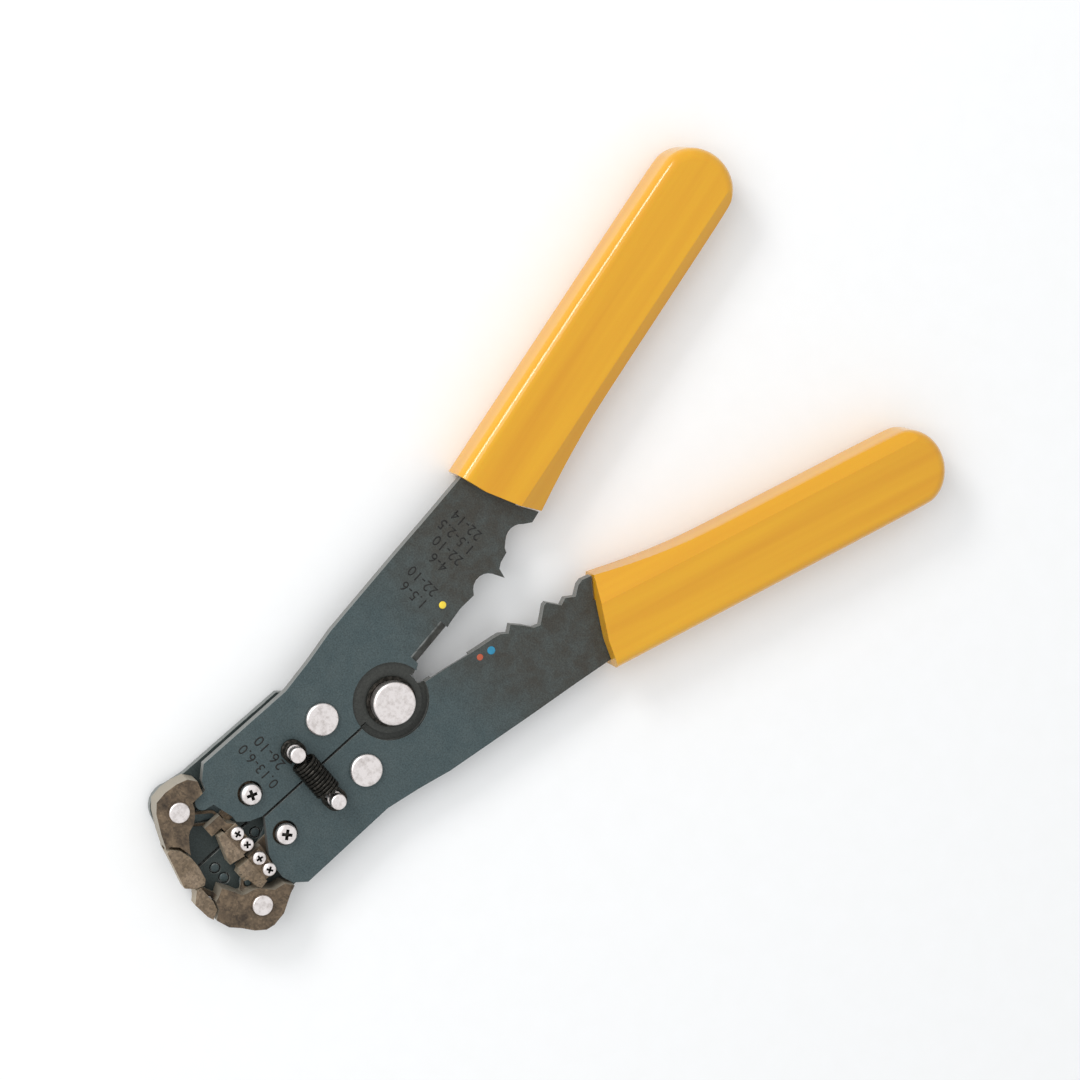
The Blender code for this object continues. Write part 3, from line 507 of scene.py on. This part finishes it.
def turned_piece(node, profile, material=bright_nickel):
    work = placed(spun(profile), axis_of(node))
    piece = finish_piece(work, node + "_turned", material, node)
    piece.modifiers.new("crisp_rims", "EDGE_SPLIT").split_angle = math.radians(50)
    return piece


def tail(shank, end_radius, end_top):
    """Profile of a rivet's shank and its upset tail, which ends at the back, z = 0."""
    return [(shank, end_top), (end_radius, end_top), (end_radius, 0.25),
            (end_radius - 0.10, 0.08), (end_radius - 0.28, 0.0), (0, 0.0)]


for side in ("left", "right"):
    turned_piece(side + "_spacer_rivet",
                 head(3.7, front_face + 0.3, front_face + 1.2, rim=0.5)
                 + [(2.4, front_face + 0.3)] + tail(2.4, 3.6, 0.8))
    turned_piece(side + "_jaw_rivet",
                 head(2.3, jaw_face + 0.3, jaw_face + 1.1, rim=0.3)
                 + [(1.7, jaw_face + 0.3)] + tail(1.7, 2.9, 0.8))
    post_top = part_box(side + "_spring_post")[1].z / MM
    loop = front_face + SPRING_LEVEL
    post = turned_piece(side + "_spring_post",
                        head(POST_RADIUS, loop + 1.1, post_top, rim=0.35)
                        + [(1.55, loop + 0.85), (1.32, loop + 0.65), (1.30, loop),
                           (1.32, loop - 0.65), (1.55, loop - 0.85),
                           (POST_RADIUS, loop - 1.1), (POST_RADIUS, front_face + 1.0),
                           (2.45, front_face + 0.95), (2.55, front_face + 0.85),
                           (2.55, front_face + 0.3), (POST_RADIUS, front_face + 0.3)]
                        + tail(POST_RADIUS, 2.75, 0.8))
    # The foot of a post, up to FOOT_HEIGHT above the front face, takes the dark wire material.
    post.data.materials.append(oiled_wire)
    for face in post.data.polygons:
        if front_face < face.center.z / MM < front_face + FOOT_HEIGHT:
            face.material_index = 1
bolt_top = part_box("pivot_bolt")[1].z / MM
turned_piece("pivot_bolt",
             head(4.9, front_face + 0.5, bolt_top, rim=0.6, dish=0.10)
             + [(3.2, front_face + 0.5), (3.2, 5.4), (2.6, 5.4), (2.6, 0.35), (2.45, 0.12),
                (2.25, 0), (0, 0)])
print("turned pieces done, front face at", round(front_face, 2), "mm")

# %% [markdown]
# The dowels and the screws of the outer pads only show their ends, ground flush with
# the plate. Their edge is broken by a tiny chamfer, which draws the dark ring.

# %% Dowels and pad screws
for node in [name for name in nodes if "dowel" in name or name.endswith("outer_pad_screw")]:
    low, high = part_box(node)
    radius = (high.x - low.x) / 2 / MM
    bottom, top = low.z / MM, high.z / MM
    turned_piece(node, [(0, top), (radius - 0.18, top), (radius - 0.05, top - 0.06),
                        (radius, top - 0.18), (radius, bottom + 0.18),
                        (radius - 0.05, bottom + 0.06), (radius - 0.18, bottom),
                        (0, bottom)], oxide_steel)

# %% [markdown]
# ## Cross-recess screws
# A pan head is spun like a rivet. The recess is a tapered cross: two crossed blocks,
# each narrower at its foot, are cut out of the head with an exact Boolean. The cross
# is painted dark as painted shade, so its faces take the wire's material.

# %% Screws
RECESS_DEPTH = 0.75          # of the cross below the top of a head
DARK_FROM, DARK_TO = 0.13, 1.0       # levels of its faces below the top


def cross_cutter(reach, half, depth, top):
    """Two crossed tapered blocks, as one cutter, in millimetres."""
    work = bmesh.new()
    for turn in (0.0, math.pi / 2):
        block = bmesh.ops.create_cube(work, size=1.0)["verts"]
        bmesh.ops.scale(work, verts=block, vec=(2 * reach * MM, 2 * half * MM,
                                                2 * depth * MM))
        foot = [vertex for vertex in block if vertex.co.z < 0]
        bmesh.ops.scale(work, verts=foot, vec=(0.45, 0.55, 1.0))
        bmesh.ops.rotate(work, verts=block, cent=(0, 0, 0),
                         matrix=Matrix.Rotation(turn, 3, "Z"))
    bmesh.ops.translate(work, verts=work.verts, vec=(0, 0, top * MM))
    return work


def mesh_object(name, work):
    mesh = bpy.data.meshes.new(name)
    work.to_mesh(mesh)
    work.free()
    made = bpy.data.objects.new(name, mesh)
    bpy.context.scene.collection.objects.link(made)
    return made


def cut(piece, cutter):
    """Applies one Boolean cut and removes the cutter."""
    knife = piece.modifiers.new("cut", "BOOLEAN")
    knife.object = cutter
    knife.solver = "EXACT"
    knife.use_self = True
    bpy.context.view_layer.update()
    graph = bpy.context.evaluated_depsgraph_get()
    result = bpy.data.meshes.new_from_object(piece.evaluated_get(graph))
    piece.modifiers.clear()
    piece.data = result
    bpy.data.objects.remove(cutter, do_unlink=True)


def cross_screw(node, turn, shank):
    low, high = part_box(node)
    radius, top = (high.x - low.x) / 2 / MM, high.z / MM
    bottom = top - (1.6 if radius > 2 else 0.9)
    work = spun([(0, top), (radius * 0.55, top), (radius * 0.78, top - 0.10),
                 (radius * 0.92, top - 0.26), (radius * 0.985, top - 0.46),
                 (radius, top - 0.62), (radius, bottom), (shank, bottom),
                 (shank, low.z / MM), (0, low.z / MM)])
    blank = mesh_object(node + "_blank", work)
    cut(blank, mesh_object("cross", cross_cutter(radius * 0.70, radius * 0.20,
                                                 RECESS_DEPTH, top)))
    work = bmesh.new()
    work.from_mesh(blank.data)
    bpy.data.objects.remove(blank, do_unlink=True)
    bmesh.ops.rotate(work, verts=work.verts, cent=(0, 0, 0),
                     matrix=Matrix.Rotation(math.radians(turn), 3, "Z"))
    # Painted shade: the faces inside the cross take the dark wire material.
    for face in work.faces:
        spot = face.calc_center_median()
        inside = math.hypot(spot.x, spot.y) < radius * 0.75 * MM
        if inside and spot.z < (top - DARK_FROM) * MM:
            face.material_index = 1 if spot.z > (top - DARK_TO) * MM else 0
    placed(work, axis_of(node))
    piece = finish_piece(work, node + "_cross", bright_nickel, node)
    piece.data.materials.append(oiled_wire)
    piece.modifiers.new("crisp_rims", "EDGE_SPLIT").split_angle = math.radians(35)


screw_turns = {
    "left_holder_screw": (68, 1.3), "right_holder_screw": (41, 1.3),
    "left_pad_screw_outer": (18, 0.55), "left_pad_screw_inner": (52, 0.55),
    "right_pad_screw_inner": (80, 0.55), "right_pad_screw_outer": (33, 0.55),
}
for node, (turn, shank) in screw_turns.items():
    cross_screw(node, turn, shank)
print("screws", len(screw_turns))

# %% [markdown]
# ## Grips
# A grip is a soft sleeve moulded over a steel tang. Its outline is a slice through the
# frame's grip, so the two agree closely. The slice is smoothed but for its mouth and
# extruded to full height. The long rims get large bevels, larger on the back than on
# the front. Two tilted planes then slice off the inner rims, which leaves a long flat
# on each face. The tang's pocket is cut with a slightly grown copy of the tang's
# slice, and a last small bevel eases the edges that are still sharp.

# %% Slices through the frame's pieces
def slice_of(work, level):
    """Replaces a closed mesh by one face: its slice at a height in millimetres."""
    everything = work.verts[:] + work.edges[:] + work.faces[:]
    bmesh.ops.bisect_plane(work, geom=everything, plane_co=(0, 0, level * MM),
                           plane_no=(0, 0, 1), clear_outer=True, clear_inner=True)
    bmesh.ops.remove_doubles(work, verts=work.verts, dist=0.01 * MM)
    bmesh.ops.contextual_create(work, geom=work.edges[:])
    bmesh.ops.recalc_face_normals(work, faces=work.faces)
    if work.faces[0].normal.z < 0:
        bmesh.ops.reverse_faces(work, faces=work.faces)
    return work


def keep_above(work, height):
    """Cuts away a closed mesh below a height on Y, in millimetres, and closes the cut."""
    everything = work.verts[:] + work.edges[:] + work.faces[:]
    bmesh.ops.bisect_plane(work, geom=everything, plane_co=(0, height * MM, 0),
                           plane_no=(0, 1, 0), clear_inner=True)
    open_edges = [edge for edge in work.edges if edge.is_boundary]
    bmesh.ops.holes_fill(work, edges=open_edges, sides=0)
    return work


def raise_slice(work, bottom, top):
    """Extrudes a slice's face into a closed block between two heights in millimetres."""
    bmesh.ops.translate(work, verts=work.verts,
                        vec=(0, 0, bottom * MM - work.verts[:][0].co.z))
    grown = bmesh.ops.extrude_face_region(work, geom=work.faces[:], use_keep_orig=True)
    lifted = [item for item in grown["geom"] if isinstance(item, bmesh.types.BMVert)]
    bmesh.ops.translate(work, verts=lifted, vec=(0, 0, (top - bottom) * MM))
    bmesh.ops.recalc_face_normals(work, faces=work.faces)
    return work


# %% Grip bodies
UPPER_RIM = 2.6              # radius of the long rims on the front
LOWER_RIM = 3.8              # and on the back, where the fingers close
GRIP_FLAT = 5.8              # width of the flat along the inner side, at the mouth
FLAT_LEAN = math.radians(30)
CRISP_MOUTH = 55.0           # below this the outline stays as it is
BELOW_POCKET = 4.6           # level of a slice that misses the tang and the rims
MOUTH_END = 53.5             # no edge of a mouth reaches further along the tool
FLAT_START = (9.7, 52.8)     # the inner corner of a mouth, where the flats begin
TANG_FROM, TANG_LEVEL = 41.0, 6.9    # where the tang's slice starts, and its level
POCKET_LOW, POCKET_HIGH = 5.4, 8.4


def mouth_edge(edge):
    """Whether an edge runs along a grip's slanted front, across the tang."""
    along = (edge.verts[0].co - edge.verts[1].co).normalized()
    return abs(along.x) > 0.75 and max(v.co.y for v in edge.verts) < MOUTH_END * MM


def grip_block(node):
    """A grip's smoothed outline, raised to full height, without its rims rounded."""
    low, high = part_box(node)
    work = slice_of(whole_faces(node), BELOW_POCKET)
    long_sides = [edge for edge in work.edges if not mouth_edge(edge)]
    bmesh.ops.subdivide_edges(work, edges=long_sides, cuts=4, use_grid_fill=False)
    soft = [vertex for vertex in work.verts if vertex.co.y > CRISP_MOUTH * MM]
    for _ in range(6):
        bmesh.ops.smooth_vert(work, verts=soft, factor=0.5, use_axis_x=True,
                              use_axis_y=True)
    return raise_slice(work, low.z / MM, high.z / MM)


def round_grip(work):
    middle = sum(vertex.co.z for vertex in work.verts) / len(work.verts)
    for upper, radius in ((True, UPPER_RIM), (False, LOWER_RIM)):
        rims = [edge for edge in work.edges
                if abs(edge.verts[0].co.z - edge.verts[1].co.z) < 0.01 * MM
                and (edge.verts[0].co.z > middle) == upper
                and edge.calc_face_angle() > 1.0 and not mouth_edge(edge)]
        bmesh.ops.bevel(work, geom=rims, offset=radius * MM, offset_type="OFFSET",
                        segments=8, profile=0.5, affect="EDGES", clamp_overlap=True,
                        material=-1)


def slice_inner_flat(work, side):
    """Slices a long flat off both inner rims, with planes that lean with the handle."""
    inward = Vector((-side * math.cos(GRIP_SPLAY), math.sin(GRIP_SPLAY), 0))
    levels = [vertex.co.z for vertex in work.verts]
    for face_side, level in ((1, max(levels)), (-1, min(levels))):
        outward = (inward * math.sin(FLAT_LEAN)
                   + Vector((0, 0, face_side)) * math.cos(FLAT_LEAN))
        corner = Vector((side * FLAT_START[0] * MM, FLAT_START[1] * MM, level))
        start = corner - inward * GRIP_FLAT * MM
        everything = work.verts[:] + work.edges[:] + work.faces[:]
        bmesh.ops.bisect_plane(work, geom=everything, plane_co=start, plane_no=outward,
                               clear_outer=True)
        bmesh.ops.holes_fill(work, edges=[edge for edge in work.edges if edge.is_boundary],
                             sides=0)


for side, sign in (("left", -1), ("right", 1)):
    node = side + "_grip"
    work = grip_block(node)
    round_grip(work)
    slice_inner_flat(work, sign)
    body = mesh_object(node + "_body", work)
    tang = slice_of(keep_above(whole_faces(side + "_handle_plate"), TANG_FROM), TANG_LEVEL)
    bmesh.ops.inset_region(tang, faces=tang.faces[:], thickness=0.3 * MM,
                           use_outset=True, use_even_offset=True)
    bmesh.ops.dissolve_faces(tang, faces=tang.faces[:])
    cut(body, mesh_object(node + "_tang", raise_slice(tang, POCKET_LOW, POCKET_HIGH)))
    work = bmesh.new()
    work.from_mesh(body.data)
    bpy.data.objects.remove(body, do_unlink=True)
    bmesh.ops.remove_doubles(work, verts=work.verts, dist=0.005 * MM)
    grip = finish_piece(work, node + "_moulded", yellow_pvc[side], node)
    ease = grip.modifiers.new("eased_rims", "BEVEL")
    ease.width = 0.35 * MM
    ease.segments = 2
    ease.limit_method = "ANGLE"
    ease.angle_limit = math.radians(24)
    even_light(grip)
    print(grip.name, len(grip.data.polygons), "faces")

# %% [markdown]
# ## The return spring
# The spring is one wire: a hook round the left post, close turns, a hook round the
# right post. The wire's own line is a curve of points and Blender's bevel sweeps it
# into a tube. It joins two halves that spread apart.

# %% Return spring
COIL_RADIUS, WIRE_RADIUS = 2.6, 0.35
HALF_PITCH = 0.41                    # half the way that one turn takes at rest


def spring_line(turns, per_turn):
    """Points along the wire, in millimetres, from one hook through the coil to the other."""
    left, level = axis_of("left_spring_post"), front_face + SPRING_LEVEL
    hook = POST_RADIUS + WIRE_RADIUS + 0.15
    half = turns * HALF_PITCH
    points = [(left[0] + hook * math.cos(math.radians(-60 - 10 * step)),
               left[1] + hook * math.sin(math.radians(-60 - 10 * step)), level)
              for step in range(29)]
    for step in range(turns * per_turn + 1):
        angle = math.tau * step / per_turn + math.pi / 2
        points.append((-half + 2 * half * step / (turns * per_turn),
                       left[1] + COIL_RADIUS * math.cos(angle),
                       level + COIL_RADIUS * math.sin(angle)))
    points += [(-left[0] + hook * math.cos(math.radians(140 - 10 * step)),
                left[1] + hook * math.sin(math.radians(140 - 10 * step)), level)
               for step in range(29)]
    return points


def swept(name, points, radius):
    """A closed tube along points, as a mesh with its caps welded."""
    curve = bpy.data.curves.new(name, "CURVE")
    curve.dimensions = "3D"
    curve.bevel_depth = radius * MM
    curve.bevel_resolution = 3
    curve.use_fill_caps = True
    line = curve.splines.new("POLY")
    line.points.add(len(points) - 1)
    for point, place in zip(line.points, points):
        point.co = (place[0] * MM, place[1] * MM, place[2] * MM, 1.0)
    holder = bpy.data.objects.new(name, curve)
    bpy.context.scene.collection.objects.link(holder)
    bpy.context.view_layer.update()
    graph = bpy.context.evaluated_depsgraph_get()
    mesh = bpy.data.meshes.new_from_object(holder.evaluated_get(graph))
    bpy.data.objects.remove(holder, do_unlink=True)
    work = bmesh.new()
    work.from_mesh(mesh)
    bmesh.ops.remove_doubles(work, verts=work.verts, dist=0.004 * MM)
    bmesh.ops.recalc_face_normals(work, faces=work.faces)
    return work


spring = finish_piece(swept("return_spring_wire", spring_line(11, 24), WIRE_RADIUS),
                      "return_spring_wire", oiled_wire, None)
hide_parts("return_spring")
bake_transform(spring)
print("spring", len(spring.data.vertices), "points")

# %% [markdown]
# ## Gauge numbers and colour dots
# The plates carry wire and terminal sizes, cut by a laser that leaves dark lines.
# Only the numbers are made. Each is a text turned to a mesh before it is placed, with
# a thickness far below anything a finger could feel, and all the numbers of a half
# are one piece. The three colour dots are drops of enamel for the crimp sizes.

# %% Marking materials
def laser_mark(name, burnt):
    material, tree, shader, place = new_material(name, Roughness=0.75)
    soot = add(tree, "TexNoise", {"Vector": place, "Scale": per_metre(0.5), "Detail": 4.0})
    depth = add(tree, "MapRange", {"Value": soot.outputs["Fac"], "From Min": 0.35,
                                   "From Max": 0.7}).outputs[0]
    colour = add(tree, "Mix", {FACTOR: depth, FIRST: linear(burnt),
                               SECOND: linear("#242420")}, data_type="RGBA").outputs[MIXED]
    tree.links.new(colour, shader.inputs["Base Color"])
    return material


def enamel(name, hex_colour):
    material, tree, shader, place = new_material(name, Roughness=0.22, Coat_Weight=0.4)
    pool = add(tree, "TexNoise", {"Vector": place, "Scale": per_metre(0.8), "Detail": 3.0})
    shade = add(tree, "MapRange", {"Value": pool.outputs["Fac"], "To Min": 0.75,
                                   "To Max": 1.15}).outputs[0]
    colour = add(tree, "Mix", {FACTOR: 1.0, FIRST: linear(hex_colour), SECOND: shade},
                 data_type="RGBA", blend_type="MULTIPLY").outputs[MIXED]
    tree.links.new(colour, shader.inputs["Base Color"])
    return material


burnt_line = laser_mark("laser_mark_burnt", "#0B0C0C")

# %% Numbers
def text_mesh(words, size):
    """A line of text as a bmesh, centred on the origin, its size in millimetres."""
    curve = bpy.data.curves.new("text", "FONT")
    curve.body = words
    curve.size = size * MM
    curve.align_x = "CENTER"
    curve.align_y = "CENTER"
    curve.space_character = 1.12
    curve.extrude = 0.012 * MM
    holder = bpy.data.objects.new("text", curve)
    bpy.context.scene.collection.objects.link(holder)
    bpy.context.view_layer.update()
    graph = bpy.context.evaluated_depsgraph_get()
    mesh = bpy.data.meshes.new_from_object(holder.evaluated_get(graph))
    bpy.data.objects.remove(holder, do_unlink=True)
    return mesh


def gauge_numbers(name, body, lines):
    """All the numbers of a half: words, place in millimetres, size and turn in degrees."""
    work = bmesh.new()
    for words, place, size, turn in lines:
        mesh = text_mesh(words, size)
        mesh.transform(Matrix.Translation((place[0] * MM, place[1] * MM,
                                           (front_face + 0.012) * MM))
                       @ Matrix.Rotation(math.radians(turn), 4, "Z"))
        work.from_mesh(mesh)
    bmesh.ops.remove_doubles(work, verts=work.verts, dist=0.001 * MM)
    piece = finish_piece(work, name, burnt_line, None, body)
    print(name, len(lines), "lines", len(piece.data.polygons), "faces")


gauge_numbers("left_gauge_numbers", "left_half", [
    ("26-10", (-10.0, -27.4), 3.5, 180), ("0.13-6.0", (-9.4, -31.2), 3.3, 180),
    ("22-14", (-18.6, 38.0), 3.3, 187), ("1.5-2.5", (-18.2, 34.6), 3.3, 187),
    ("22-10", (-17.2, 31.2), 3.3, 187), ("4-6", (-16.6, 27.9), 3.3, 187),
    ("22-10", (-15.8, 22.6), 3.3, 185), ("1.5-6", (-14.8, 19.1), 3.3, 185)])

# %% Colour dots
for name, body, place, hex_colour, radius in (
        ("dot_yellow", "left_half", (-8.6, 22.5), "#F2D43A", 0.85),
        ("dot_blue", "right_half", (6.9, 24.3), "#1E84A8", 0.95),
        ("dot_red", "right_half", (6.3, 21.4), "#B4502E", 0.75)):
    work = spun([(0, 0.10), (radius * 0.6, 0.085), (radius * 0.9, 0.04), (radius, 0.0),
                 (0, 0.0)], steps=28)
    bmesh.ops.translate(work, verts=work.verts,
                        vec=(place[0] * MM, place[1] * MM, front_face * MM))
    finish_piece(work, name, enamel("enamel_" + name[4:], hex_colour),
                 None, body)
print("dots done")

# %% [markdown]
# ## Table and light
# A pale, plain table and a bright even sky keep the shadows soft. A large softbox
# stands high on the left. A smaller and brighter one stands lower on the same side,
# and draws the thin line of light on the left grip.

# %% Table and light
def pale_table(name):
    material, tree, shader, place = new_material(name, Roughness=0.85)
    fleck = add(tree, "TexNoise", {"Vector": place, "Scale": per_metre(6), "Detail": 3.0})
    tone = add(tree, "Mix", {FACTOR: fleck.outputs["Fac"], FIRST: linear("#F2F2F1"),
                             SECOND: linear("#F5F5F5")}, data_type="RGBA").outputs[MIXED]
    tree.links.new(tone, shader.inputs["Base Color"])
    return material


work = bmesh.new()
bmesh.ops.create_grid(work, x_segments=4, y_segments=4, size=1.5)
bmesh.ops.translate(work, verts=work.verts, vec=(0, 0, -0.02 * MM))
table = mesh_object("table", work)
table.data.materials.append(pale_table("matte_white_table"))


def softbox(name, place, aim, size, power):
    light = bpy.data.lights.new(name, "AREA")
    light.shape = "RECTANGLE"
    light.size, light.size_y = size
    light.energy = power
    lamp = bpy.data.objects.new(name, light)
    lamp.location = place
    lamp.rotation_euler = (Vector(aim) - Vector(place)).to_track_quat("-Z", "Y").to_euler()
    bpy.context.scene.collection.objects.link(lamp)


softbox("upper_left", (-0.75, -0.35, 0.95), (0, 0.04, 0), (0.8, 0.8), 5.0)
softbox("low_left", (-0.80, -0.015, 0.488), (-0.04, 0.085, 0.012), (0.30, 0.22), 2.7)
sky = bpy.data.worlds.new("even_sky")
sky.use_nodes = True
sky.node_tree.nodes["Background"].inputs["Color"].default_value = linear("#F4F6F8")
sky.node_tree.nodes["Background"].inputs["Strength"].default_value = 0.84
bpy.context.scene.world = sky
bpy.context.scene.view_settings.view_transform = "Standard"
